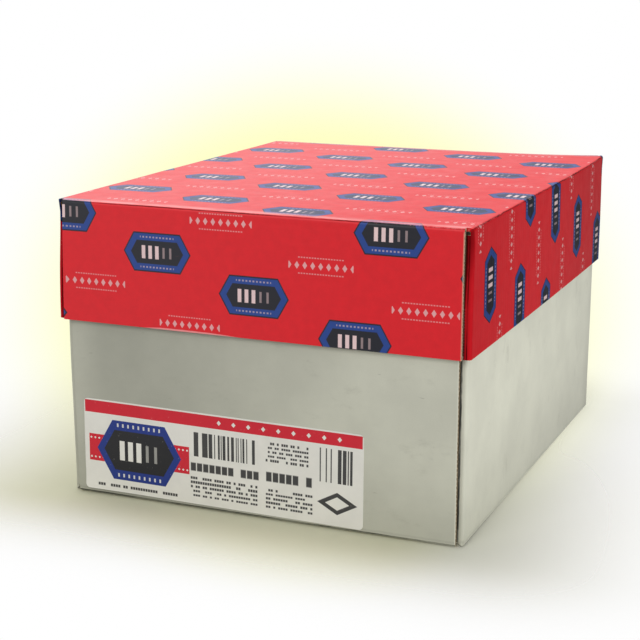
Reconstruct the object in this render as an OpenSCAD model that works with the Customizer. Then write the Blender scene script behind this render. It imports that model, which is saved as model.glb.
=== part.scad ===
// Carton of wrapped paper reams: a tray base, a deep tray lid that telescopes over it,
// a paper label on the front, and two stacks of reams side by side inside.
// Origin: centre of the footprint, on the ground. The labelled front faces -Y, and Z is up.

/* [Paper] */
// Length of a sheet, along the front of the carton
sheet_length = 356; // [300:1:460]
// Width of a sheet, from front to back
sheet_width = 216; // [140:1:330]
// Height of one wrapped ream
ream_height = 51; // [32:1:70]
// Reams in each of the two stacks
stack_layers = 5; // [3:1:6]
// Rounding of a ream's four upright edges
ream_corner = 1.5; // [0.5:0.25:4]
// Thickness of one layer of folded wrapper
wrap_fold = 0.3; // [0.15:0.05:0.45]
// Distance that a wrapper flap stops short of the ream's far edge
flap_short = 18; // [4:1:26]

/* [Base] */
// Thickness of the base's board
base_board = 3.5; // [2.5:0.25:7]
// Gap between the reams and the panels or tabs around them
ream_clear = 1; // [1:0.25:6]
// Height left free above the reams
headroom = 5; // [4:0.5:40]
// Length of the base's glue tabs
base_tab = 95; // [40:1:98]
// Distance of the base's end panel edges from its corners
base_setback = 6; // [0.5:0.25:10]

/* [Lid] */
// Thickness of the lid's board
lid_board = 3; // [1.5:0.25:7]
// Gap between the lid's inside and the base
lid_clear = 1.5; // [0.75:0.25:5]
// Overall height of the lid
lid_height = 106; // [20:1:130]
// Length of the lid's glue tabs
lid_tab = 90; // [40:1:98]
// Distance of the lid's end panel edges from its corners
lid_setback = 6.5; // [0.5:0.25:10]
// Gap between the base's rim and the lid's top panel
rest_gap = 0.3; // [0.2:0.05:1]

/* [Folds] */
// Outside radius of every fold in the board
fold_radius = 3; // [0.5:0.25:3.25]
// Gap between a glue tab and the tray's main panel
tab_gap = 3; // [1:0.5:8]
// Radius of the relief hole where the folds meet at each corner
relief_radius = 1.6; // [0.5:0.1:3]

/* [Label] */
// Length of the label
label_length = 267; // [40:1:280]
// Height of the label
label_height = 84; // [20:1:110]
// Thickness of the label
label_thick = 0.2; // [0.1:0.05:0.5]
// Radius of the label's corners
label_corner = 4; // [0.5:0.5:10]
// Distance of the label from the base's left corner
label_left = 11.5; // [5:0.5:20]
// Height of the label's lower edge, halfway along
label_rise = 4; // [3:0.5:20]
// Slope of the label, where a negative angle falls to the right
label_tilt = -0.4; // [-0.8:0.1:0.8]

/* [Hidden] */
// Two stacks stand side by side from front to back
stacks = 2;
// Spare length that carries a cut past a face
over = 1;
// Smoothness of the round outlines
$fn = 48;

REAMS = [for (i = [1 : stacks * stack_layers]) str("ream_", i < 10 ? "0" : "", i)];

// A tray is its side panels, folded round the corners into tabs, with an end panel on each pair of tabs
base_length = sheet_length + 2 * ream_clear + 2 * base_board;
base_depth = stacks * sheet_width + 2 * ream_clear + 4 * base_board;
base_height = base_board + stack_layers * ream_height + headroom;

lid_length = base_length + 2 * lid_clear + 2 * lid_board;
lid_depth = base_depth + 2 * lid_clear + 4 * lid_board;
lid_top = base_height + rest_gap + lid_board;

// A rectangle centred on the origin, with all four corners rounded
module rounded_rect(length, depth, radius) {
    square([length - 2 * radius, depth], center = true);
    square([length, depth - 2 * radius], center = true);
    for (x = [-1, 1], y = [-1, 1])
        translate([x * (length / 2 - radius), y * (depth / 2 - radius)])
            circle(radius);
}

// A tray's cross-section seen from its open end: square at the rim, rounded at the two bottom folds
module fold_outline(width, height) {
    translate([-width / 2, fold_radius])
        square([width, height - fold_radius]);
    translate([-width / 2 + fold_radius, 0])
        square([width - 2 * fold_radius, height - fold_radius]);
    for (x = [-1, 1])
        translate([x * (width / 2 - fold_radius), fold_radius])
            circle(fold_radius);
}

// Main panel and side panels, with the tabs that the side panels carry round the corners
module side_wrap(length, depth, height, board, tab) {
    inside_length = length - 2 * board;
    difference() {
        intersection() {
            linear_extrude(height)
                rounded_rect(length, depth, fold_radius);
            translate([0, depth / 2 + over, 0])
                rotate([90, 0, 0])
                    linear_extrude(depth + 2 * over)
                        fold_outline(length, height);
        }
        // Space between the side panels and between the front and back tabs
        translate([-inside_length / 2, board - depth / 2, board])
            cube([inside_length, depth - 2 * board, height]);
        // Space between the ends of each pair of tabs
        translate([tab - inside_length / 2, -depth / 2 - over, board])
            cube([inside_length - 2 * tab, depth + 2 * over, height]);
        // Gap between the tabs and the main panel
        translate([-inside_length / 2, -depth / 2 - over, board])
            cube([inside_length, depth + 2 * over, tab_gap]);
    }
}

// One end panel, glued over a pair of tabs, with the strip of main panel that it is folded from
module end_panel(length, depth, height, board, setback) {
    translate([setback - length / 2, 0, 0])
        rotate([90, 0, 90])
            linear_extrude(length - 2 * setback)
                intersection() {
                    fold_outline(depth, height);
                    translate([-depth / 2, 0]) {
                        square([board, height]);
                        square([2 * board, board]);
                    }
                }
}

// A whole tray that stands on its main panel, with its rim up
module tray(length, depth, height, board, tab, setback) {
    wrap_depth = depth - 2 * board;
    difference() {
        union() {
            side_wrap(length, wrap_depth, height, board, tab);
            for (turn = [0, 180])
                rotate([0, 0, turn])
                    end_panel(length, depth, height, board, setback);
        }
        // Relief holes in the main panel's corners, where three folds meet
        for (x = [-1, 1], y = [-1, 1])
            translate([x * (length / 2 - board - relief_radius), y * wrap_depth / 2, -over])
                cylinder(r = relief_radius, h = board + 2 * over);
    }
}

// The bottom half of the carton, rim up
module carton_base() {
    color("lightgray")
        tray(base_length, base_depth, base_height, base_board, base_tab, base_setback);
}

// The top half of the carton, rim down over the base
module carton_lid() {
    color("crimson")
        translate([0, 0, lid_top])
            rotate([180, 0, 0])
                tray(lid_length, lid_depth, lid_height, lid_board, lid_tab, lid_setback);
}

// The printed sheet on the base's front panel
module label() {
    color("ivory")
        translate([label_left - base_length / 2 + label_length / 2, -base_depth / 2, label_rise + label_height / 2])
            rotate([90, -label_tilt, 0])
                linear_extrude(label_thick)
                    rounded_rect(label_length, label_height, label_corner);
}

// One wrapper flap folded over a ream's end, wide at the fold and narrower at its tip
module end_flap(layers) {
    reach = ream_height - flap_short;
    half = sheet_width / 2 - ream_corner;
    translate([sheet_length / 2 - over, 0, 0])
        rotate([90, 0, 90])
            linear_extrude(over + layers * wrap_fold)
                polygon([[-half, 0], [half, 0], [half - reach, reach], [reach - half, reach]]);
}

// A wrapped ream, centred on its bottom face
module wrapped_ream() {
    linear_extrude(ream_height)
        rounded_rect(sheet_length, sheet_width, ream_corner);
    for (turn = [0, 180])
        rotate([0, 0, turn]) {
            end_flap(2);
            translate([0, 0, ream_height])
                mirror([0, 0, 1])
                    end_flap(1);
        }
}

// A ream in its place: even numbers in the front stack, odd numbers in the back one, from the bottom up
module ream(index) {
    stack = index % stacks;
    layer = floor(index / stacks);
    color("gainsboro")
        translate([0, (stack - (stacks - 1) / 2) * sheet_width, base_board + layer * ream_height])
            wrapped_ream();
}

carton_base();
carton_lid();
label();
for (i = [0 : len(REAMS) - 1])
    ream(i);
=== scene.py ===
"""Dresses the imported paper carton: board with open flutes, a printed lid, a label and wrapped reams."""
import math

import bmesh
import bpy
from mathutils import Matrix, Vector, noise


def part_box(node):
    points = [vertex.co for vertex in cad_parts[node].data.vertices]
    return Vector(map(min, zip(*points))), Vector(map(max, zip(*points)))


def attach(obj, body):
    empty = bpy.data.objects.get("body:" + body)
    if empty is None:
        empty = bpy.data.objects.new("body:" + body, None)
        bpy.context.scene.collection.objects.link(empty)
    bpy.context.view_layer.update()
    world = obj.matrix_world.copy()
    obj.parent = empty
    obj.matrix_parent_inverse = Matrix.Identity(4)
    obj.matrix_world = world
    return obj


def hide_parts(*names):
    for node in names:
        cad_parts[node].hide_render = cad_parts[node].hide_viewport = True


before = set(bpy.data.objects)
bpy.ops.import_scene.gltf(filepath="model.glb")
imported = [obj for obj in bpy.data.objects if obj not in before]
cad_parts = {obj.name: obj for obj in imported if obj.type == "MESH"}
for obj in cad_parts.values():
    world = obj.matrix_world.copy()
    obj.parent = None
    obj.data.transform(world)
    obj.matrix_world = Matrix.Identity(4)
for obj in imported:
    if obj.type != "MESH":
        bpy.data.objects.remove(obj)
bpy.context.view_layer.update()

# Units
MM = 0.001

# Camera, as fitted to the photograph's edges
CAMERA_AZIMUTH = math.radians(22.60)
CAMERA_ELEVATION = math.radians(13.44)
CAMERA_ROLL = math.radians(0.146)
CAMERA_DISTANCE = 1.5086
CAMERA_TARGET = Vector((-0.0371, 0.0, 0.1227))
FOCAL_PIXELS = 1533.5
IMAGE_PIXELS = 640
SENSOR = 36.0

# Board, as the trays are built
FOLD_RADIUS = 3.0 * MM
LINER = 0.4 * MM
MEDIUM = 0.28 * MM
GROOVE = 3.0 * MM
TRAYS = {
    "carton_base": {"board": 3.5 * MM, "tab": 95 * MM, "setback": 6 * MM, "flute": 7.6 * MM, "up": 1},
    "carton_lid": {"board": 3.0 * MM, "tab": 90 * MM, "setback": 6.5 * MM, "flute": 6.4 * MM, "up": -1},
}
TAB_GAP = 3.0 * MM
STEPS_PER_FLUTE = 10
OUTER_LINER, INNER_LINER, CUT_EDGE, SHADED_CUT_INSIDE = range(4)

# Label, as it is stuck on
LABEL_WIDTH = 267 * MM
LABEL_HEIGHT = 84 * MM
LABEL_TILT = math.radians(-0.4)

# Size of the cells that let flat panels bend
BOARD_GRID = 12 * MM
PAPER_GRID = 9 * MM
REAM_GRID = 24 * MM

# How far the board and the paper have moved from flat
BASE_BULGE = 1.2 * MM
LID_BOW = 1.1 * MM
LID_CROWN = 0.9 * MM
LID_CORNER_LIFT = 3.0 * MM
RIPPLE = 0.25 * MM
SLOT = 0.9 * MM
SLOT_DEPTH = 9 * MM
FLARE = 1.2 * MM
TAB_SAG = 2.6 * MM
LID_CORNER_DENT = 2.0 * MM
LABEL_CURL = 1.0 * MM
SHOULDER = 6 * MM
SHOULDER_DROP = 1.5 * MM
WRAPPER_SLACK = 0.35 * MM

# How far the left side panels lean out at the base's foot, waist and rim, and at the lid's top and
# rim, and the distances from the middle between which the board goes over to that lean
BASE_LEAN = (2.6 * MM, 4.6 * MM, 2.2 * MM)
BASE_WAIST = 160 * MM
BASE_LEAN_BAND = (172 * MM, 178.5 * MM)
LID_LEAN = (1.5 * MM, 3.6 * MM)
LID_LEAN_BAND = (172 * MM, 183 * MM)

# Print, in millimetres on the flat blank: the offset from one medallion to the next, the blur of
# printed edges, and the band beside a fold in which one panel's gloss gives way to the next one's
MOTIF_STEP = (90.0, 30.0)
PRINT_BLUR = 0.2
LABEL_BLUR = 0.1
OVER_FOLD = (-3.8, -2.6)

# Light: each softbox's place, the point it faces, its side and its power
SOFTBOXES = {
    "overhead": ((-0.4, 0.3, 2.0), (0, 0, 0.2), 1.5, 25.5),
    "key": ((-0.3, -2.2, 1.2), (0, 0, 0.15), 0.9, 18),
    "low_right": ((1.2, -0.3, 0.10), (0.1, 0, 0.04), 0.5, 6.2),
}

# Strength of the light from all round, and how far the glow reaches across and up, in pixels
AMBIENT = 0.42
GLOW_REACH = (302.0, 250.0)

# Floor
FLOOR_HALF = 1.5
FLOOR_DROP = 0.5 * MM
FLOOR_FADE = 0.2


def srgb(red, green, blue):
    """A colour written as 8-bit sRGB, in the linear numbers that shaders take."""
    def linear(value):
        value /= 255
        return value / 12.92 if value <= 0.04045 else ((value + 0.055) / 1.055) ** 2.4
    return (linear(red), linear(green), linear(blue), 1.0)


# Colours
RED_INK = srgb(224, 31, 41)
BLUE_INK = srgb(38, 68, 140)
DARK_INK = srgb(24, 25, 34)
PALE_INK = srgb(236, 206, 206)
# Pale red for rubbed ink and for the painted highlight along the folds
WORN_AND_HIGHLIGHT_RED = srgb(242, 150, 150)
WHITE_LINER = srgb(204, 204, 188)
SMUDGE = srgb(136, 134, 118)
PALE_LINER = srgb(236, 233, 216)
KRAFT = srgb(171, 138, 100)
KRAFT_DARK = srgb(120, 92, 62)
RAW_EDGE = srgb(206, 190, 160)
# Painted shade inside the cut edges
HOLLOW_SHADE = srgb(104, 84, 60)
LABEL_WHITE = srgb(232, 230, 222)
LABEL_RED = srgb(208, 32, 50)
LABEL_BLUE = srgb(26, 50, 128)
LABEL_DARK = srgb(20, 20, 24)
WRAPPER = srgb(226, 226, 220)
# Floor near the carton, painted darker as its shadow, and paler on the right
FLOOR = srgb(206, 205, 180)
FLOOR_SHADOW_RIGHT = srgb(207, 207, 192)
GLOW = srgb(255, 255, 190)


def feed(tree, slot, value):
    """Gives a shader's input a field or a plain number."""
    if isinstance(value, Field):
        tree.links.new(value.socket, slot)
    else:
        slot.default_value = value


class Field:
    """A number that varies over a surface, held by a shader socket, so that patterns read as sums."""

    def __init__(self, tree, socket):
        self.tree = tree
        self.socket = socket

    def math(self, operation, *others, clamp=False):
        node = self.tree.nodes.new("ShaderNodeMath")
        node.operation = operation
        node.use_clamp = clamp
        for slot, value in zip(node.inputs, (self, *others)):
            feed(self.tree, slot, value)
        return Field(self.tree, node.outputs[0])

    def __add__(self, other):
        return self.math("ADD", other)

    def __sub__(self, other):
        return self.math("SUBTRACT", other)

    def __mul__(self, other):
        return self.math("MULTIPLY", other)

    def __truediv__(self, other):
        return self.math("DIVIDE", other)

    def __neg__(self):
        return self.math("MULTIPLY", -1.0)

    def __abs__(self):
        return self.math("ABSOLUTE")

    def least(self, other):
        return self.math("MINIMUM", other)

    def most(self, other):
        return self.math("MAXIMUM", other)

    def floor(self):
        return self.math("FLOOR")

    def nearest(self):
        return self.math("ROUND")

    def repeat(self, pitch):
        """The offset from the nearest whole number of pitches."""
        return self - (self / pitch).nearest() * pitch

    def sine(self):
        return self.math("SINE")

    def above(self, limit):
        return self.math("GREATER_THAN", limit)

    def ramp(self, start, end, low=0.0, high=1.0):
        """Goes smoothly from low at start to high at end."""
        node = self.tree.nodes.new("ShaderNodeMapRange")
        node.interpolation_type = "SMOOTHSTEP"
        self.tree.links.new(self.socket, node.inputs["Value"])
        for name, value in (("From Min", start), ("From Max", end), ("To Min", low), ("To Max", high)):
            node.inputs[name].default_value = value
        return Field(self.tree, node.outputs["Result"])

    def inside(self, soft=PRINT_BLUR):
        """1 where a distance is negative and 0 where it is positive, with a soft printed edge."""
        return (self * (-0.5 / soft)).math("ADD", 0.5, clamp=True)


class Surface:
    """One material under construction: its nodes, the pattern's coordinates and its colour so far."""

    def __init__(self, name):
        self.material = bpy.data.materials.new(name)
        self.material.use_nodes = True
        self.tree = self.material.node_tree
        self.shader = next(n for n in self.tree.nodes if n.type == "BSDF_PRINCIPLED")

    def node(self, kind, **settings):
        made = self.tree.nodes.new(kind)
        for name, value in settings.items():
            setattr(made, name, value)
        return made

    def flat_coordinates(self, layer):
        """The two coordinates, in millimetres, that a mesh carries for its print."""
        map_node = self.node("ShaderNodeUVMap", uv_map=layer)
        split = self.node("ShaderNodeSeparateXYZ")
        self.tree.links.new(map_node.outputs["UV"], split.inputs[0])
        return [Field(self.tree, split.outputs[i]) * 1000.0 for i in range(2)]

    def place(self):
        """The object's own coordinates, in metres."""
        return self.node("ShaderNodeTexCoord").outputs["Object"]

    def vector(self, x, y, z=0.0):
        joined = self.node("ShaderNodeCombineXYZ")
        for slot, value in zip(joined.inputs, (x, y, z)):
            feed(self.tree, slot, value)
        return joined.outputs[0]

    def noise(self, scale, detail=4.0, rough=0.55, where=None, stretch=None):
        """Smooth noise from about 0 to 1. The scale is in waves per metre, or per unit of where."""
        where = where or self.place()
        if stretch:
            scaled = self.node("ShaderNodeVectorMath", operation="MULTIPLY")
            self.tree.links.new(where, scaled.inputs[0])
            scaled.inputs[1].default_value = stretch
            where = scaled.outputs[0]
        made = self.node("ShaderNodeTexNoise")
        self.tree.links.new(where, made.inputs["Vector"])
        made.inputs["Scale"].default_value = scale
        made.inputs["Detail"].default_value = detail
        made.inputs["Roughness"].default_value = rough
        return Field(self.tree, made.outputs["Fac"])

    def chance(self, x, y=0.0):
        """A fixed random number for each whole pair of numbers."""
        made = self.node("ShaderNodeTexWhiteNoise", noise_dimensions="2D")
        self.tree.links.new(self.vector(x, y), made.inputs["Vector"])
        return Field(self.tree, made.outputs["Value"])

    def start(self, colour):
        """Begins the colour, which paint() then covers layer by layer."""
        first = self.node("ShaderNodeRGB")
        first.outputs[0].default_value = colour
        self.colour = first.outputs[0]

    def paint(self, mask, colour):
        """Covers the colour so far where the mask is 1."""
        mix = self.node("ShaderNodeMix", data_type="RGBA")
        self.tree.links.new(mask.socket, mix.inputs["Factor"])
        self.tree.links.new(self.colour, mix.inputs["A"])
        mix.inputs["B"].default_value = colour
        self.colour = mix.outputs["Result"]

    def shade(self, amount):
        """Multiplies the colour so far by a field."""
        mix = self.node("ShaderNodeVectorMath", operation="SCALE")
        self.tree.links.new(self.colour, mix.inputs[0])
        self.tree.links.new(amount.socket, mix.inputs["Scale"])
        self.colour = mix.outputs[0]

    def finish(self, roughness, bump=None, bump_depth=0.0, specular=0.5):
        """Joins the colour, a roughness number or field, and a height field to the shader."""
        self.tree.links.new(self.colour, self.shader.inputs["Base Color"])
        for name, value in (("Roughness", roughness), ("Specular IOR Level", specular)):
            feed(self.tree, self.shader.inputs[name], value)
        if bump:
            made = self.node("ShaderNodeBump")
            made.inputs["Strength"].default_value = 1.0
            made.inputs["Distance"].default_value = bump_depth
            self.tree.links.new(bump.socket, made.inputs["Height"])
            self.tree.links.new(made.outputs["Normal"], self.shader.inputs["Normal"])
        return self.material


def box_distance(x, y, centre_x, centre_y, half_width, half_height):
    """How far a point lies outside an upright rectangle, and negative inside it."""
    across = abs(x - centre_x) - half_width
    along = abs(y - centre_y) - half_height
    return across.most(along)


def hexagon_distance(x, y, half_width, half_height):
    """How far a point lies outside a long hexagon with pointed left and right ends."""
    slanted = (abs(x) - half_width) * 0.866 + abs(y) * 0.5
    return slanted.most(abs(y) - half_height)


def lattice(x, y, across, along, shift):
    """A point's offset from the nearest node of a square lattice that is turned on the sheet."""
    area = across * across + along * along
    s = (x * across + y * along) / area + shift
    t = (y * across - x * along) / area + shift
    s = s - s.nearest()
    t = t - t.nearest()
    return s * across - t * along, s * along + t * across


def dark_line(beyond, middle, width, depth):
    """How much darker the board is along a line beside a fold, from millimetres past the fold's end."""
    half = width / 2
    core = 0.2 * half
    start = beyond.ramp(middle - half, middle - core)
    end = beyond.ramp(middle + core, middle + half, 1.0, 0.0)
    return -(start * end * depth) + 1.0


def corner_strip(past_side, past_end):
    """1 on the narrow upright strips of tab that the end panels leave bare."""
    return past_side.ramp(-3.0, 0.0) * past_end.ramp(-8.0, -5.0)


def edge_gap_shade_and_highlight(u, past_side, past_end, tray, width):
    """The painted shade of the gap beside an end panel's upright edge, and the crushed liner along that edge
    with a painted highlight.
    """
    edge = (tray["setback"] - tray["board"] - FOLD_RADIUS) / MM
    width = (past_side * 0.07).sine() * (past_side * 0.027).sine() * 0.5 + width
    gap = corner_strip(past_side, past_end) * (past_end + width - edge).ramp(-0.3, 0.3)
    crushed_and_highlight = (u - (tray["length"] / 2 - tray["setback"]) / MM).ramp(-1.1, -0.5) * past_end.ramp(-1.0, 1.0)
    return gap, crushed_and_highlight * past_side.ramp(-4.0, -3.0, 1.0, 0.0)


def fold_distances(u, v, length, depth):
    """Distances in millimetres past the end of each fold's arc, toward the side and the end panels."""
    arc = 0.57 * FOLD_RADIUS / MM
    return abs(u) - (length / MM / 2 + arc), abs(v) - (depth / MM / 2 + arc)


def flute_height(across, pitch):
    """The faint washboard that the flutes press into a liner."""
    return (across * (2 * math.pi / pitch)).sine() * 0.12


def printed_board(tray):
    """The lid's outer liner: red ink with blue medallions and pale diamonds, worn along the folds, with
    painted shade on its side panels and folds and painted highlights along the end folds.
    """
    surface = Surface("printed_board")
    u, v = surface.flat_coordinates("blank")
    flat = surface.vector(u, v)
    past_side, past_end = fold_distances(u, v, tray["length"], tray["depth"])
    outside_painted_sheen = past_side.ramp(-4.0, -2.4).most(past_end.ramp(-4.0, -2.4))
    surface.start(RED_INK)

    # Pale rows of diamonds between two broken rules
    x, y = lattice(u, v, *MOTIF_STEP, 0.5)
    diamonds = (abs(x.repeat(7.0)) * 1.5 + abs(y) - 3.2).most(abs(x) - 28.5).inside()
    broken = abs(x.repeat(2.4)) - 0.75
    rules = (abs(abs(y) - 6.6) - 0.5).most(abs(x) - 20.0).most(broken).inside()
    surface.paint((diamonds * 0.62).most(rules * 0.42), PALE_INK)

    # Blue medallions with a dark core and pale bars
    x, y = lattice(u, v, *MOTIF_STEP, 0.0)
    surface.paint(hexagon_distance(x, y, 32.0, 17.0).inside(), DARK_INK)
    surface.paint(hexagon_distance(x, y, 30.8, 15.8).inside(), BLUE_INK)
    beads = abs(x.repeat(3.2)) - 0.8
    ring = (abs(abs(y) - 12.9) - 0.7).most(abs(x) - 16.0).most(beads).inside()
    surface.paint(ring * 0.45, PALE_INK)
    # On the top the dark cores are printed thinner as a painted sheen, so that the red shows through
    surface.paint(hexagon_distance(x, y, 25.0, 10.0).inside() * (outside_painted_sheen * 0.25 + 0.75), DARK_INK)
    bar = abs(x.repeat(6.4))
    bright = (bar - 1.7).most(abs(y) - 5.6).most(abs(x + 6.4) - 9.4)
    faint = (bar - 1.0).most(abs(y) - 4.6).most(abs(x) - 16.0)
    surface.paint(bright.inside().most(faint.inside() * 0.35), PALE_INK)

    # The ink stops short of the rim along part of each end
    end_reach = unroll(tray["depth"] / 2, tray["height"], tray["depth"] / 2) / MM
    drift = surface.noise(0.08, 3.0, 0.6, where=flat)
    margin = u.ramp(-115.0, -80.0) * u.ramp(-45.0, -5.0, 1.0, 0.0) * 1.7 + drift - 0.8
    surface.paint((-(abs(v) + margin - end_reach)).inside() * 0.9, WORN_AND_HIGHLIGHT_RED)

    # Ink lies unevenly over the flutes; the side panels are painted darker as shade, by an amount that
    # changes along them
    mottle = surface.noise(0.11, 5.0, 0.6, where=flat).ramp(0.25, 0.75, 0.95, 1.04)
    grain = surface.noise(1.9, 2.0, 0.5, where=flat).ramp(0.2, 0.8, 0.97, 1.02)
    side_shade_along = v.ramp(-230.0, 0.0, 0.6, 0.69) * v.ramp(60.0, 220.0, 1.0, 0.93)
    sides = past_side.ramp(-3.4, -2.4) * (side_shade_along - 1.0) + 1.0
    surface.shade(mottle * grain * sides)

    # White paper shows in places where the folds have rubbed, and a pale band along the crest of each end's
    # fold is a painted highlight
    strip = corner_strip(past_side, past_end)
    near_fold = abs(past_side + 2.6).least(abs(past_end + 2.6))
    rubbed = surface.noise(0.5, 6.0, 0.7, where=flat)
    patches = surface.noise(0.02, 2.0, 0.5, where=flat).ramp(0.48, 0.64)
    wear = (near_fold * 0.16 + 0.44 - rubbed).ramp(-0.1, 0.03, 1.0, 0.0) * patches
    surface.paint(wear * (-strip + 1.0) * 0.4, WORN_AND_HIGHLIGHT_RED)
    fold_highlight = past_end.ramp(-15.0, -5.0) * past_end.ramp(-3.7, -3.0, 1.0, 0.0)
    fold_highlight = fold_highlight * past_side.ramp(-6.0, -4.0, 1.0, 0.0)
    highlight_streaks = surface.noise(0.03, 4.0, 0.65, where=flat, stretch=(0.6, 1.6, 1.0)).ramp(0.36, 0.58, 0.3, 0.85)
    surface.paint(fold_highlight * highlight_streaks, WORN_AND_HIGHLIGHT_RED)
    scuff = surface.noise(0.09, 7.0, 0.75, where=flat, stretch=(0.35, 1.0, 1.0)).ramp(0.66, 0.74, 0.0, 0.22)
    surface.paint(scuff, WORN_AND_HIGHLIGHT_RED)

    # Dark wandering scores in the folds and darker lines by the back corners, all painted shade, and corner
    # strips painted darker near the top as the shade of the end panels, with painted shade in the gap beside
    # each end panel's edge and a painted highlight on its crushed liner
    jitter = (surface.noise(0.13, 4.0, 0.7, where=flat) - 0.5) * 3.6
    depth = surface.noise(0.016, 3.0, 0.6, where=flat).ramp(0.35, 0.6, 0.3, 0.8)
    crease_shade = dark_line(past_end + jitter * 0.3, -2.3, 1.8, depth)
    crease_shade = crease_shade * dark_line(past_side + jitter, -2.5, 1.8, depth)
    crease_shade = crease_shade * dark_line(past_end, -8.4, 2.8, v.ramp(-20.0, 0.0, 0.55, 0.0))
    gap, crushed_and_highlight = edge_gap_shade_and_highlight(u, past_side, past_end, tray, 1.3)
    near_top = past_side.ramp(2.0, 50.0, 0.5, 1.1)
    surface.shade(crease_shade * (strip * (near_top - 1.0) + 1.0) * (gap * -0.7 + 1.0))
    surface.paint(crushed_and_highlight * 0.5, RAW_EDGE)

    fibres = surface.noise(1.2, 3.0, 0.5, where=flat)
    height = flute_height(v, tray["flute"] / MM) + fibres * 0.3 + crease_shade * 0.8
    gloss = surface.noise(0.06, 4.0, 0.6, where=flat).ramp(0.3, 0.7, 0.38, 0.44)
    on_top = u.ramp(-190.0, 190.0, 0.66, 0.12)
    on_ends = u.ramp(-190.0, 190.0, 0.36, 0.24)
    varnish = on_top + (on_ends - on_top) * past_end.ramp(*OVER_FOLD)
    varnish = varnish * past_side.ramp(*OVER_FOLD, 1.0, 0.0) * crease_shade + 0.007
    return surface.finish(gloss, height, 0.12 * MM, specular=varnish)


def white_board(tray):
    """The base's outer liner: mottled grey-white board with smudges and rubbed edges, painted lighter and
    darker across its panels as light and shade.
    """
    surface = Surface("white_board")
    u, v = surface.flat_coordinates("blank")
    flat = surface.vector(u, v)
    surface.start(WHITE_LINER)
    past_side, past_end = fold_distances(u, v, tray["length"], tray["depth"])
    fibres = surface.noise(1.4, 4.0, 0.65, where=flat, stretch=(0.5, 1.6, 1.0)).ramp(0.2, 0.8, 0.965, 1.02)
    cloud = surface.noise(0.014, 4.0, 0.6, where=flat).ramp(0.3, 0.7, 0.93, 1.04)
    # The end panels are painted darker than the side panels as shade; the board is painted lighter and
    # darker across each panel as light and shade, and a band by each back corner is darker
    ends = past_end.ramp(-2.0, 2.0, 1.0, 0.9)
    painted_light_and_shade = u.ramp(-150.0, 150.0, 0.8, 1.24) * u.ramp(-186.0, -146.0, 1.28, 1.0)
    painted_light_and_shade = painted_light_and_shade * past_end.ramp(0.0, 80.0, 0.82, 1.0)
    painted_light_and_shade = painted_light_and_shade * past_side.ramp(-4.0, 0.0, 0.92, 0.83) * past_side.ramp(0.0, 110.0, 1.0, 1.24)
    back_corner = v.ramp(188.0, 222.0) * v.ramp(226.0, 230.0, 1.0, 0.0)
    surface.shade(fibres * cloud * ends * painted_light_and_shade * (back_corner * -0.14 + 1.0))

    # Broad smudges from handling and short scuffs along the flutes; a grey line beside each fold, darker
    # lines along the corner and bottom folds and the gap beside each end panel's edge are painted shade, and
    # the crushed liner along that edge carries a painted highlight
    smudge = surface.noise(0.035, 6.0, 0.7, where=flat, stretch=(0.5, 1.0, 1.0)).ramp(0.56, 0.76, 0.0, 0.3)
    surface.paint(smudge, SMUDGE)
    scuff = surface.noise(0.22, 5.0, 0.7, where=flat, stretch=(0.18, 1.0, 1.0)).ramp(0.67, 0.72, 0.0, 0.45)
    surface.paint(scuff, SMUDGE)
    jitter = (surface.noise(0.14, 3.0, 0.6, where=flat) - 0.5) * 2.4
    crease_shade = dark_line(past_end + jitter, 1.0, 3.2, 0.12) * dark_line(past_side + jitter, 1.0, 3.2, 0.1)
    depth = surface.noise(0.03, 4.0, 0.65, where=flat).ramp(0.38, 0.6, 0.45, 0.88)
    fold_shade = dark_line(past_end + jitter * 0.3, -1.4, 2.4, depth)
    fold_shade = fold_shade * dark_line(past_side + jitter * 0.5, -3.2, 2.6, depth)
    gap, crushed_and_highlight = edge_gap_shade_and_highlight(u, past_side, past_end, tray, 0.6)
    surface.shade(crease_shade * fold_shade * (gap * -0.85 + 1.0))
    surface.paint(crushed_and_highlight * 0.6, PALE_LINER)

    bumps = surface.noise(1.0, 4.0, 0.55, where=flat)
    height = flute_height(v, tray["flute"] / MM) + bumps * 0.4 + crease_shade * 1.2
    return surface.finish(0.62, height, 0.12 * MM, specular=0.3)


def kraft_board():
    """The trays' inner liner: brown paper with long fibres."""
    surface = Surface("kraft_board")
    surface.start(KRAFT)
    fibres = surface.noise(900.0, 4.0, 0.6, stretch=(0.25, 1.0, 1.0)).ramp(0.2, 0.8, 0.86, 1.1)
    cloud = surface.noise(22.0, 3.0, 0.6).ramp(0.3, 0.7, 0.93, 1.05)
    surface.shade(fibres * cloud)
    flecks = surface.noise(1600.0, 2.0, 0.5).ramp(0.68, 0.74, 0.0, 0.5)
    surface.paint(flecks, KRAFT_DARK)
    return surface.finish(0.8, surface.noise(1400.0, 4.0, 0.6), 0.06 * MM, specular=0.25)


def raw_board():
    """The cut edges and the flutes inside them: torn fibres."""
    surface = Surface("raw_board")
    surface.start(RAW_EDGE)
    fibres = surface.noise(1500.0, 4.0, 0.7).ramp(0.25, 0.75, 0.8, 1.1)
    surface.shade(fibres)
    return surface.finish(0.9, surface.noise(2500.0, 3.0, 0.6), 0.1 * MM, specular=0.2)


def shaded_hollow_board():
    """The inside of the cut edges, painted dark as the shade between the liners."""
    surface = Surface("shaded_hollow_board")
    surface.start(HOLLOW_SHADE)
    surface.shade(surface.noise(700.0, 3.0, 0.6).ramp(0.25, 0.75, 0.7, 1.15))
    return surface.finish(0.95, surface.noise(1500.0, 3.0, 0.6), 0.1 * MM, specular=0.1)


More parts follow.
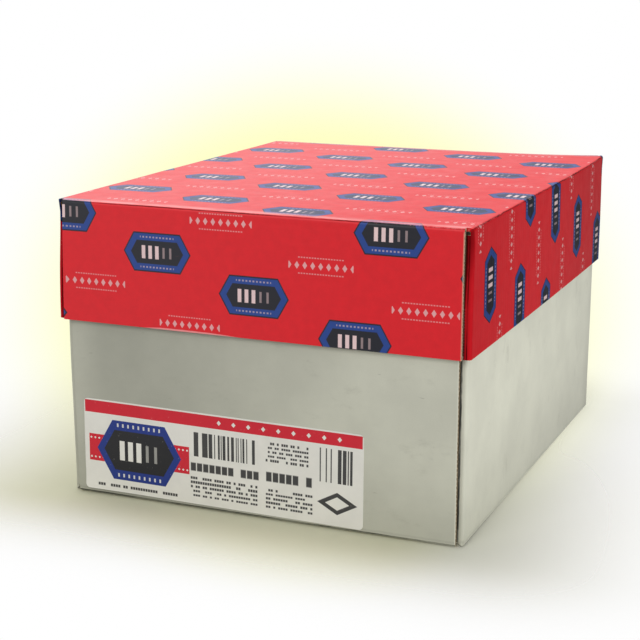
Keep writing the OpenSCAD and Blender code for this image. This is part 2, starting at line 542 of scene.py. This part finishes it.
def fold_zone(centre, normal, tray):
    """Which panel of a tray a face belongs to, from its middle and its normal in the tray's own frame."""
    wrap = tray["depth"] / 2 - tray["board"]
    if abs(centre.y) > wrap + 0.05 * MM:
        return "end"
    if abs(normal.y) > 0.95 and abs(centre.y) > wrap - 0.05 * MM:
        return "tab"
    if abs(normal.x) > 0.02 or centre.z > FOLD_RADIUS:
        return "side"
    return "main"


def unroll(offset, rise, half):
    """A distance from the middle of the flat blank, for a point at that offset and rise past one fold."""
    flat = half - FOLD_RADIUS
    if offset <= flat:
        return offset
    if rise < FOLD_RADIUS:
        return flat + FOLD_RADIUS * math.atan2(offset - flat, FOLD_RADIUS - rise)
    return flat + FOLD_RADIUS * math.pi / 2 + rise - FOLD_RADIUS


def blank_place(point, zone, tray):
    """Where a point of the folded tray lay on the flat blank."""
    half_length = tray["length"] / 2
    half_depth = tray["depth"] / 2
    wrap = half_depth - tray["board"]
    x, y, z = abs(point.x), abs(point.y), point.z
    u, v = x, y
    if zone == "end":
        v = unroll(y, z, half_depth)
    elif zone == "main":
        u = unroll(x, z, half_length)
    else:
        if z > FOLD_RADIUS:
            u = half_length + FOLD_RADIUS * (math.pi / 2 - 2) + z
        else:
            u = unroll(x, z, half_length)
        turned = math.atan2(max(y - wrap + FOLD_RADIUS, 0.0), max(x - half_length + FOLD_RADIUS, 1e-9))
        if y > wrap - FOLD_RADIUS:
            v = wrap - FOLD_RADIUS + FOLD_RADIUS * turned
        if zone == "tab":
            v = wrap + FOLD_RADIUS * (math.pi / 2 - 1) + half_length - FOLD_RADIUS - x
    return math.copysign(u, point.x), math.copysign(v, point.y)


def cut_across(bm, axis, offset):
    """Cuts every face along the plane that crosses one axis at an offset."""
    normal = Vector(1.0 if i == axis else 0.0 for i in range(3))
    geometry = bm.verts[:] + bm.edges[:] + bm.faces[:]
    bmesh.ops.bisect_plane(bm, geom=geometry, plane_co=normal * offset, plane_no=normal)


def cut_in_cells(bm, step):
    """Cuts every face along planes about a step apart, so that flat panels can bend."""
    corners = [v.co for v in bm.verts]
    for axis in range(3):
        low = min(c[axis] for c in corners)
        high = max(c[axis] for c in corners)
        count = max(1, round((high - low) / step))
        for i in range(1, count):
            cut_across(bm, axis, low + (high - low) * i / count)


def cleaned_copy(node):
    """A bmesh of a CAD node's solid, with its flat faces whole again."""
    bm = bmesh.new()
    bm.from_mesh(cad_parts[node].data)
    bmesh.ops.remove_doubles(bm, verts=bm.verts, dist=0.001 * MM)
    bmesh.ops.dissolve_limit(bm, angle_limit=math.radians(1), verts=bm.verts, edges=bm.edges)
    return bm


def sink(bm, faces, taper, depth):
    """Sinks a region of faces into the board, between walls that lean in a little, and paints the sunk faces
    and walls dark as shade.
    """
    walls = bmesh.ops.inset_region(bm, faces=faces, thickness=taper, depth=-depth, use_even_offset=False)
    for face in faces + walls["faces"]:
        face.material_index = SHADED_CUT_INSIDE


def cut_groove(bm, faces):
    """Opens a band of cut edge between its two liners."""
    bmesh.ops.inset_region(bm, faces=faces, thickness=LINER, use_even_offset=True, use_boundary=True)
    sink(bm, faces, 0.01 * MM, GROOVE)


def ribbon(bm, path, inward, thickness=MEDIUM):
    """A thin closed strip that follows a path across the cut edge and runs inward from it."""
    sides = []
    axis = inward.normalized()
    for i, point in enumerate(path):
        before = path[max(i - 1, 0)]
        after = path[min(i + 1, len(path) - 1)]
        across = (after - before).cross(axis).normalized() * (thickness / 2)
        sides.append([point + across, point - across, point - across + inward, point + across + inward])
    rings = [[bm.verts.new(p) for p in corners] for corners in sides]
    for first, second in zip(rings, rings[1:]):
        for i in range(4):
            j = (i + 1) % 4
            bm.faces.new((first[i], first[j], second[j], second[i])).material_index = CUT_EDGE
    bm.faces.new(rings[0][::-1]).material_index = CUT_EDGE
    bm.faces.new(rings[-1]).material_index = CUT_EDGE


def wave(start, end, across, pitch):
    """Points of a flute's wave between two points of a cut edge."""
    length = (end - start).length
    count = max(4, round(length / pitch * STEPS_PER_FLUTE))
    points = []
    for i in range(count + 1):
        turn = 2 * math.pi * length * i / count / pitch
        points.append(start.lerp(end, i / count) + across * math.sin(turn))
    return points


def add_flutes(bm, tray):
    """The fluted medium in every open edge: waves where flutes end, and drifting lines along them."""
    board = tray["board"]
    half_length = tray["length"] / 2
    half_depth = tray["depth"] / 2
    wrap = half_depth - board
    rim = tray["height"]
    swing = board / 2 - LINER - MEDIUM
    pitch = tray["flute"]
    down = Vector((0, 0, -GROOVE))
    free_end = half_length - board - tray["tab"]
    for x in (-1, 1):
        side = x * (half_length - board / 2)
        ends = [Vector((side, y * (wrap - board), rim)) for y in (-1, 1)]
        ribbon(bm, wave(*ends, Vector((swing, 0, 0)), pitch), down)
        for y in (-1, 1):
            # The tab, the joint between tab and end panel, and the end panel's cut upright edge
            middle = y * (wrap - board / 2)
            ends = [Vector((x * a, middle, rim)) for a in (half_length - board, free_end + LINER)]
            ribbon(bm, wave(*ends, Vector((0, swing, 0)), pitch), down)
            raw = half_length - tray["setback"]
            ends = [Vector((x * a, y * wrap, rim)) for a in (raw, free_end)]
            ribbon(bm, ends, down, thickness=2 * LINER)
            ends = [Vector((x * raw, y * (half_depth - board / 2), z)) for z in (board + LINER, rim - LINER)]
            ribbon(bm, wave(*ends, Vector((0, swing, 0)), pitch), Vector((-x * GROOVE, 0, 0)))
    for y in (-1, 1):
        middle = y * (half_depth - board / 2)
        reach = half_length - tray["setback"] - GROOVE
        ends = [Vector((x * reach, middle, rim)) for x in (-1, 1)]
        ribbon(bm, wave(*ends, Vector((0, swing, 0)), half_length), down)


def smooth_step(value, start, end):
    """0 before start, 1 after end and smooth between."""
    share = min(max((value - start) / (end - start), 0.0), 1.0)
    return share * share * (3 - 2 * share)


def swell(point, tray, amount, level):
    """How far a side or end panel has bowed outward at a point, most in its middle at the given level."""
    half_length = tray["length"] / 2
    half_depth = tray["depth"] / 2
    along_x = max(0.0, 1 - (point.x / half_length) ** 2)
    along_y = max(0.0, 1 - (point.y / half_depth) ** 2)
    rise = min(max(point.z / tray["height"], 0.0), 1.0)
    upright = math.sin(math.pi * rise * 0.5 / level) if rise < 2 * level else 0.0
    reach_x = math.copysign(smooth_step(abs(point.x), half_length - 12 * MM, half_length - 5 * MM), point.x)
    reach_y = math.copysign(smooth_step(abs(point.y), half_depth - 16 * MM, half_depth - 8 * MM), point.y)
    return Vector((reach_x * along_y, reach_y * along_x, 0)) * (amount * upright)


def edge_flare(point, tray):
    """How far the free upright edges of the end panels stand off the tabs behind them."""
    wrap = tray["depth"] / 2 - tray["board"]
    if abs(point.y) < wrap + 0.5 * SLOT:
        return Vector()
    from_edge = tray["length"] / 2 - tray["setback"] - abs(point.x)
    share = math.exp(-max(from_edge, 0.0) / (28 * MM)) * smooth_step(point.z, tray["board"], 34 * MM)
    wander = 0.75 + 0.5 * noise.noise(Vector((point.x * 3, point.y * 3, point.z * 18)))
    return Vector((0, math.copysign(FLARE * share * wander, point.y), 0))


def base_shape(point):
    """The base as it stands: panels bulged by the weight inside, most on its left, with a faint ripple."""
    tray = TRAYS["carton_base"]
    moved = point + swell(point, tray, BASE_BULGE, 0.4) + edge_flare(point, tray)
    foot, waist, rim = BASE_LEAN
    if point.z < BASE_WAIST:
        lean = foot + (waist - foot) * smooth_step(point.z, 0.0, BASE_WAIST)
    else:
        lean = waist + (rim - waist) * smooth_step(point.z, BASE_WAIST, tray["height"])
    moved.x -= lean * smooth_step(-point.x, *BASE_LEAN_BAND)
    tab_middle = tray["depth"] / 2 - 1.5 * tray["board"]
    on_tab = abs(abs(point.y) - tab_middle) < 0.6 * tray["board"]
    # Each tab's lower edge reaches down nearly to the main panel
    if on_tab and abs(point.z - tray["board"] - TAB_GAP) < 0.1 * MM:
        moved.z -= TAB_SAG
    ripple = noise.noise(point * 14 + Vector((3, 7, 1))) * RIPPLE * min(1.0, point.z / 0.03)
    outward = Vector()
    if abs(point.x) > tray["length"] / 2 - 5 * MM:
        outward.x = math.copysign(1, point.x)
    if abs(point.y) > tray["depth"] / 2 - 8 * MM:
        outward.y = math.copysign(1, point.y)
    return moved + outward * ripple


def lid_shape(point):
    """The lid as it sits: skirt bowed out, top crowned, one back corner sprung up. z counts from its top."""
    tray = TRAYS["carton_lid"]
    moved = point + swell(point, tray, LID_BOW, 0.9) + edge_flare(point, tray)
    across = point.x / (tray["length"] / 2)
    along = point.y / (tray["depth"] / 2)
    near_top = max(0.0, 1 - point.z / (tray["height"] * 0.8))
    crown = LID_CROWN * max(0.0, 1 - across ** 2) * max(0.0, 1 - along ** 2)
    sprung = LID_CORNER_LIFT * max(0.0, across) ** 3 * max(0.0, -along) ** 4 * near_top ** 2
    ripple = noise.noise(point * 11 + Vector((5, 2, 9))) * RIPPLE * 1.6
    moved.z -= (crown + max(0.0, ripple)) * (near_top if point.z < 8 * MM else 0.0) + sprung
    top_lean, rim_lean = LID_LEAN
    lean = top_lean + (rim_lean - top_lean) * smooth_step(point.z, 0.0, tray["height"])
    moved.x -= lean * smooth_step(-point.x, *LID_LEAN_BAND)

    # The bare strips of tab are pressed in a little way below the top
    wrap = tray["depth"] / 2 - tray["board"]
    strip = smooth_step(abs(point.x), 176 * MM, 180.4 * MM) * (abs(point.y) < wrap + 0.01 * MM)
    strip *= smooth_step(abs(point.y), wrap - 12 * MM, wrap - 3.2 * MM)
    level = smooth_step(point.z, 3 * MM, 9 * MM) * (1 - smooth_step(point.z, 9 * MM, 70 * MM))
    moved.y -= math.copysign(LID_CORNER_DENT * strip * level, point.y)
    return moved


def in_tray_frame(node):
    """Turns the row's coordinates into the tray's own, with its main panel at the bottom, and back again."""
    low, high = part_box(node)
    tray = TRAYS[node]
    tray["length"] = high[0] - low[0]
    tray["depth"] = high[1] - low[1]
    tray["height"] = high[2] - low[2]
    if tray["up"] > 0:
        return Matrix.Translation((0, 0, -low[2]))
    return Matrix.Rotation(math.pi, 4, "X") @ Matrix.Translation((0, 0, -high[2]))


def make_tray(node, name, shape, materials):
    """A folded tray in place of its CAD node, with open flutes and its print's coordinates."""
    inward = in_tray_frame(node)
    tray = TRAYS[node]
    bm = cleaned_copy(node)
    bm.transform(inward)
    cut_in_cells(bm, BOARD_GRID)
    raw_x = tray["length"] / 2 - tray["setback"]
    wrap = tray["depth"] / 2 - tray["board"]
    for y in (-1, 1):
        cut_across(bm, 1, y * (wrap + SLOT))
    rim, left, right, slots = [], [], [], []
    layer = bm.loops.layers.uv.new("blank")
    for face in bm.faces:
        centre = face.calc_center_median()
        zone = fold_zone(centre, face.normal, tray)
        face.material_index = board_side(centre, face.normal, zone, tray)
        for loop in face.loops:
            loop[layer].uv = blank_place(loop.vert.co, zone, tray)
        upright = abs(face.normal.x) > 0.99 and abs(centre.y) > wrap
        upright = upright and abs(abs(centre.x) - raw_x) < 0.01 * MM
        if centre.z > tray["height"] - 0.01 * MM:
            rim.append(face)
        elif upright and abs(centre.y) < wrap + SLOT and centre.z > tray["board"]:
            slots.append(face)
        elif upright:
            (right if centre.x > 0 else left).append(face)
    for face in rim + left + right + slots:
        face.material_index = CUT_EDGE
    for faces in (rim, left, right):
        cut_groove(bm, faces)
    # A narrow slot opens behind each end panel's upright edge, where its glue has let go
    sink(bm, slots, 0.02 * MM, SLOT_DEPTH)
    add_flutes(bm, tray)
    for vert in bm.verts:
        vert.co = shape(vert.co)
    bm.transform(inward.inverted())
    return finish_mesh(bm, name, materials, sharp=32)


def board_side(centre, normal, zone, tray):
    """What a face of the folded sheet shows: its outer liner, its inner liner or a cut edge."""
    board = tray["board"]
    if zone == "main":
        return OUTER_LINER if normal.z < -0.5 else INNER_LINER if normal.z > 0.5 else CUT_EDGE
    if zone == "end":
        outward = normal.y * math.copysign(1, centre.y) > 0.05 or normal.z < -0.5
        return OUTER_LINER if outward else CUT_EDGE if abs(normal.y) < 0.5 else INNER_LINER
    if abs(normal.z) > 0.95 and centre.z > board:
        return CUT_EDGE
    if abs(normal.x) > 0.95 and abs(centre.x) < tray["length"] / 2 - board - MM:
        return CUT_EDGE
    outward = centre.x * normal.x > 0.0001 or centre.y * normal.y > 0.0001 or normal.z < -0.5
    return OUTER_LINER if outward else INNER_LINER


def add_object(name, data):
    """A new object in the scene, made from a mesh, a light or a camera."""
    made = bpy.data.objects.new(name, data)
    bpy.context.scene.collection.objects.link(made)
    return made


def finish_mesh(bm, name, materials, sharp):
    """Turns a bmesh into a shaded object with clean normals and its materials."""
    bmesh.ops.recalc_face_normals(bm, faces=bm.faces)
    for face in bm.faces:
        face.smooth = True
    mesh = bpy.data.meshes.new(name)
    bm.to_mesh(mesh)
    bm.free()
    mesh.set_sharp_from_angle(angle=math.radians(sharp))
    for material in materials:
        mesh.materials.append(material)
    made = add_object(name, mesh)
    normals = made.modifiers.new("even_normals", "WEIGHTED_NORMAL")
    normals.keep_sharp = True
    return made


def label_paper():
    """The label's print: blocks of colour, dashes and stripes, in millimetres from its middle."""
    surface = Surface("label_paper")
    x, y = surface.flat_coordinates("sheet")
    surface.start(LABEL_WHITE)
    half_width, half_height = LABEL_WIDTH / MM / 2, LABEL_HEIGHT / MM / 2

    def dashes(left, bottom, columns, rows, letter, row, fill=0.62, share=0.72):
        """Rows of broken dashes, like lines of print seen from far off."""
        across = (x - left) / letter
        along = (y - bottom) / row
        column, line = across.floor(), along.floor()
        middle_x, middle_y = columns / 2, rows / 2
        drawn = surface.chance(column + left, line * 7.3 + bottom).above(1 - share)
        inked = surface.chance(line + bottom, left) * 0.3 + 0.7
        area = box_distance(across, along, middle_x, middle_y, middle_x - 0.01, middle_y - 0.01)
        band = abs(along - line - 0.5) - inked * (fill / 2)
        gap = abs(across - column - 0.5) - 0.42
        return area.most(band).most(gap).inside(0.04) * drawn

    def stripes(left, bottom, columns, tall, step):
        """Upright stripes of uneven width."""
        wide = columns * step / 2
        drawn = surface.chance((x - left).math("DIVIDE", step).floor(), left).above(0.46)
        return box_distance(x, y, left + wide, bottom + tall / 2, wide, tall / 2).inside(LABEL_BLUR) * drawn

    # Crimson band along the top with a row of small diamonds
    band_middle = half_height - 7.0
    band = box_distance(x, y, 0.0, band_middle, half_width - 1.0, 5.6)
    surface.paint(band.inside(LABEL_BLUR), LABEL_RED)
    spark = abs(x.repeat(14.0)) * 0.9 + abs(y - band_middle) * 0.8 - 1.8
    surface.paint(spark.most(abs(x - 52.0) - 62.0).inside(LABEL_BLUR), LABEL_WHITE)

    # Crimson ribbon that runs behind a blue medallion with a dark core and pale bars
    near_x, near_y = x + 79.0, y + 3.0
    ribbon_half = 12.5
    surface.paint(box_distance(near_x, near_y, 0.0, 0.0, 50.0, ribbon_half).inside(LABEL_BLUR), LABEL_RED)
    bead = abs(near_x.repeat(4.0)) + abs(abs(near_y) - 9.0) - 1.1
    surface.paint(bead.most(-(abs(near_x) - 36.0)).most(abs(near_x) - 49.0).inside(LABEL_BLUR), LABEL_WHITE)
    surface.paint(hexagon_distance(near_x, near_y, 42.0, 27.5).inside(LABEL_BLUR), LABEL_BLUE)
    tick = abs(near_x.repeat(5.2)) - 0.8
    ticks = tick.most(abs(abs(near_y) - 23.2) - 1.6).most(abs(near_x) - 24.0)
    surface.paint(ticks.inside(LABEL_BLUR) * 0.85, LABEL_WHITE)
    surface.paint(hexagon_distance(near_x, near_y, 35.0, 18.5).inside(LABEL_BLUR), LABEL_DARK)
    bar = abs(near_x.repeat(8.4))
    bright = (bar - 2.5).most(abs(near_y) - 9.0).most(abs(near_x + 8.4) - 12.6)
    faint = (bar - 1.4).most(abs(near_y) - 7.6).most(abs(near_x) - 21.0)
    surface.paint(bright.inside(LABEL_BLUR).most(faint.inside(LABEL_BLUR) * 0.4), LABEL_WHITE)

    # Dark stripes, rows of dashes and one outlined diamond
    marks = dashes(-126.0, -39.0, 36, 1, 2.5, 4.4)
    marks = marks.most(stripes(-28.0, 2.0, 72, 22.0, 0.9))
    marks = marks.most(dashes(-28.0, -13.5, 11, 1, 6.0, 11.5, fill=0.8, share=0.85))
    marks = marks.most(dashes(-28.0, -36.0, 28, 5, 2.3, 4.0))
    marks = marks.most(dashes(44.0, 6.0, 19, 5, 2.1, 3.8))
    marks = marks.most(dashes(44.0, -13.0, 7, 1, 6.2, 12.5, fill=0.84, share=0.85))
    marks = marks.most(dashes(44.0, -36.0, 19, 5, 2.3, 3.8))
    marks = marks.most(stripes(94.0, -4.0, 30, 30.0, 1.1))
    shape = abs(x - 110.0) * 0.55 + abs(y + 22.0)
    marks = marks.most((shape - 10.0).most(-(shape - 6.0)).inside(LABEL_BLUR))
    surface.paint(marks * 0.95, LABEL_DARK)

    flat = surface.vector(x, y)
    surface.shade(surface.noise(0.03, 4.0, 0.6, where=flat).ramp(0.3, 0.7, 0.94, 1.01))
    rubbed = surface.noise(0.3, 6.0, 0.75, where=flat).ramp(0.62, 0.7, 0.0, 0.25)
    surface.paint(rubbed, LABEL_WHITE)
    gloss = surface.noise(0.05, 3.0, 0.6, where=flat).ramp(0.3, 0.7, 0.42, 0.52)
    return surface.finish(gloss, surface.noise(0.9, 3.0, 0.6, where=flat), 0.03 * MM, specular=0.35)


def make_label(material):
    """The label sheet, following the bulge of the panel it is stuck to, with slightly lifted corners."""
    low, high = (Vector(c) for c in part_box("label"))
    middle = (low + high) / 2
    bm = cleaned_copy("label")
    cut_in_cells(bm, PAPER_GRID)
    cosine, sine = math.cos(LABEL_TILT), math.sin(LABEL_TILT)
    layer = bm.loops.layers.uv.new("sheet")
    half = (high - low) / 2
    for face in bm.faces:
        for loop in face.loops:
            x, z = loop.vert.co.x - middle.x, loop.vert.co.z - middle.z
            loop[layer].uv = (x * cosine + z * sine, z * cosine - x * sine)
    for vert in bm.verts:
        flat = vert.co.copy()
        panel = Vector((flat.x, high.y, flat.z))
        vert.co += base_shape(panel) - panel
        corner = (abs(flat.x - middle.x) / half.x) ** 10 * (abs(flat.z - middle.z) / half.z) ** 6
        wrinkle = max(0.0, noise.noise(flat * 30 + Vector((1, 2, 3)))) * 0.2 * MM
        curl = smooth_step(middle.x - flat.x, 0.6 * half.x, half.x)
        curl *= smooth_step(middle.z - flat.z, 0.6 * half.z, half.z)
        vert.co.y -= 0.35 * MM * corner + wrinkle + LABEL_CURL * curl
    return finish_mesh(bm, "label_sheet", [material], sharp=40)


def wrapper_paper():
    """The reams' wrapper: smooth coated paper with fine creases."""
    surface = Surface("wrapper_paper")
    surface.start(WRAPPER)
    surface.shade(surface.noise(18.0, 4.0, 0.6).ramp(0.3, 0.7, 0.95, 1.02))
    creases = surface.noise(26.0, 6.0, 0.7).ramp(0.42, 0.5) * surface.noise(90.0, 4.0, 0.6)
    gloss = surface.noise(14.0, 3.0, 0.6).ramp(0.3, 0.7, 0.34, 0.5)
    return surface.finish(gloss, creases, 0.35 * MM)


def make_ream(node, material):
    """A wrapped ream in place of its CAD node, with softened edges and a slack, creased wrapper."""
    low, high = (Vector(c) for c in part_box(node))
    middle = (low + high) / 2
    bm = cleaned_copy(node)
    sharp = [e for e in bm.edges if len(e.link_faces) == 2 and e.calc_face_angle(0) > 1.2]
    long_edges = [e for e in sharp if e.calc_length() > 100 * MM]
    bmesh.ops.bevel(bm, geom=long_edges, offset=0.8 * MM, segments=2, affect="EDGES", clamp_overlap=True)
    for axis in range(2):
        for inset in (SHOULDER, SHOULDER / 2, SHOULDER / 6):
            cut_across(bm, axis, low[axis] + inset)
            cut_across(bm, axis, high[axis] - inset)
    cut_in_cells(bm, REAM_GRID)
    for vert in bm.verts:
        offset = vert.co - middle
        from_edge = min((high[axis] - low[axis]) / 2 - abs(offset[axis]) for axis in range(2))
        shoulder = max(0.0, 1 - max(from_edge, 0.0) / SHOULDER) ** 2
        drop = SHOULDER_DROP * shoulder * smooth_step(abs(offset.z), 20 * MM, 25 * MM)
        vert.co.z -= math.copysign(drop, offset.z)
        slack = 0.5 + 0.5 * noise.noise(vert.co * 22)
        for axis in range(3):
            half = (high[axis] - low[axis]) / 2
            edge = abs(offset[axis]) / half
            if edge > 0.97:
                vert.co[axis] -= math.copysign(WRAPPER_SLACK * slack, offset[axis])
    return finish_mesh(bm, node + "_wrapped", [material], sharp=50)


def camera_axes():
    """The directions to the viewer's right, up and back from the object."""
    back = Vector((
        math.sin(CAMERA_AZIMUTH) * math.cos(CAMERA_ELEVATION),
        -math.cos(CAMERA_AZIMUTH) * math.cos(CAMERA_ELEVATION),
        math.sin(CAMERA_ELEVATION),
    ))
    right = Vector((0, 0, 1)).cross(back).normalized()
    up = back.cross(right)
    turn = Matrix.Rotation(CAMERA_ROLL, 3, back)
    return turn @ right, turn @ up, back


def set_camera():
    """The photograph's viewpoint."""
    right, up, back = camera_axes()
    pose = Matrix((right, up, back)).transposed().to_4x4()
    pose.translation = CAMERA_TARGET + back * CAMERA_DISTANCE
    data = bpy.data.cameras.new("camera")
    data.sensor_width = SENSOR
    data.lens = FOCAL_PIXELS / IMAGE_PIXELS * SENSOR
    data.clip_end = 100
    made = add_object("camera", data)
    made.matrix_world = pose
    bpy.context.scene.camera = made


def softbox(name, place, aim, size, power):
    """A square softbox that faces a point."""
    data = bpy.data.lights.new(name, "AREA")
    data.shape = "SQUARE"
    data.size = size
    data.energy = power
    made = add_object(name, data)
    made.location = place
    made.rotation_euler = (Vector(place) - Vector(aim)).to_track_quat("Z", "Y").to_euler()


def set_world():
    """Soft even light from all round, which the camera and reflections see as white, with a cream glow that
    only the camera sees.
    """
    world = bpy.data.worlds.new("studio")
    bpy.context.scene.world = world
    world.use_nodes = True
    tree = world.node_tree
    background = next(n for n in tree.nodes if n.type == "BACKGROUND")
    path = tree.nodes.new("ShaderNodeLightPath")
    seen = Field(tree, path.outputs["Is Camera Ray"])
    seen = seen.most(Field(tree, path.outputs["Is Glossy Ray"]))
    seen = seen.most(Field(tree, path.outputs["Is Transmission Ray"]))
    strength = seen * (1.0 - AMBIENT) + AMBIENT
    tree.links.new(strength.socket, background.inputs["Strength"])

    # The glow surrounds the carton in the photograph's view
    right, up, _ = camera_axes()
    spread = []
    for axis, reach in zip((right, up), GLOW_REACH):
        dot = tree.nodes.new("ShaderNodeVectorMath")
        dot.operation = "DOT_PRODUCT"
        tree.links.new(tree.nodes.new("ShaderNodeTexCoord").outputs["Generated"], dot.inputs[0])
        dot.inputs[1].default_value = axis
        offset = Field(tree, dot.outputs["Value"]) * (FOCAL_PIXELS / reach)
        spread.append(offset * offset)
    glow = (spread[0] + spread[1]).math("SQRT").ramp(0.6, 1.15, 1.0, 0.0)
    glow = glow * Field(tree, path.outputs["Is Camera Ray"])
    mix = tree.nodes.new("ShaderNodeMix")
    mix.data_type = "RGBA"
    tree.links.new(glow.socket, mix.inputs["Factor"])
    mix.inputs["A"].default_value = (1, 1, 1, 1)
    mix.inputs["B"].default_value = GLOW
    tree.links.new(mix.outputs["Result"], background.inputs["Color"])


def make_floor(carton_box):
    """A pale floor, painted darker near the carton as its soft shadow, that melts into the white background
    a short way from the carton.
    """
    bm = bmesh.new()
    bmesh.ops.create_grid(bm, x_segments=1, y_segments=1, size=FLOOR_HALF)
    mesh = bpy.data.meshes.new("floor")
    bm.to_mesh(mesh)
    bm.free()
    floor = add_object("floor", mesh)
    surface = Surface("floor")
    split = surface.node("ShaderNodeSeparateXYZ")
    surface.tree.links.new(surface.place(), split.inputs[0])
    low, high = carton_box
    x, y = (Field(surface.tree, split.outputs[i]) for i in range(2))
    outside_x = (abs(x) - (high[0] - low[0]) / 2).most(0.0) * x.ramp(-0.1, 0.1, 0.58, 0.76)
    outside_y = (abs(y) - (high[1] - low[1]) / 2).most(0.0)
    shadow_fade = (outside_x * outside_x + outside_y * outside_y).math("SQRT").ramp(0.0, FLOOR_FADE, 1.0, 0.0)
    shadow_fade = shadow_fade * shadow_fade

    # The painted shadow is paler on the right side, and more so toward the back
    paler_shadow_right = x.ramp(0.12, 0.2)
    shadow_fade = shadow_fade * (paler_shadow_right * (y.ramp(-0.26, 0.16, 0.88, 0.26) - 1.0) + 1.0)
    surface.start(FLOOR)
    surface.paint(paler_shadow_right, FLOOR_SHADOW_RIGHT)
    surface.finish(0.9, specular=0.05)
    clear = surface.node("ShaderNodeBsdfTransparent")
    mix = surface.node("ShaderNodeMixShader")
    output = next(n for n in surface.tree.nodes if n.type == "OUTPUT_MATERIAL")
    surface.tree.links.new(shadow_fade.socket, mix.inputs[0])
    surface.tree.links.new(clear.outputs[0], mix.inputs[1])
    surface.tree.links.new(surface.shader.outputs[0], mix.inputs[2])
    surface.tree.links.new(mix.outputs[0], output.inputs["Surface"])
    mesh.materials.append(surface.material)
    floor.location.z = -FLOOR_DROP


def set_stage():
    """Camera, lights, backdrop and colour handling."""
    set_camera()
    set_world()
    for name, settings in SOFTBOXES.items():
        softbox(name, *settings)
    make_floor(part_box("carton_lid"))
    bpy.context.scene.view_settings.view_transform = "Standard"


def dress():
    """Replaces every CAD node with its finished piece."""
    inner_boards = [kraft_board(), raw_board(), shaded_hollow_board()]
    in_tray_frame("carton_base")
    in_tray_frame("carton_lid")
    lid = TRAYS["carton_lid"]
    base = TRAYS["carton_base"]
    pieces = [
        (make_tray("carton_base", "base_tray", base_shape, [white_board(base)] + inner_boards),
         "carton_base", "carton", "base_board"),
        (make_tray("carton_lid", "lid_tray", lid_shape, [printed_board(lid)] + inner_boards),
         "carton_lid", "lid", "lid_board"),
        (make_label(label_paper()), "label", "carton", "label_paper"),
    ]
    wrapper = wrapper_paper()
    for node in sorted(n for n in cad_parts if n.startswith("ream_")):
        pieces.append((make_ream(node, wrapper), node, "carton", "ream_wrapper"))
    for piece, node, body, slot in pieces:
        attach(piece, body)
        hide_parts(node)


set_stage()
dress()
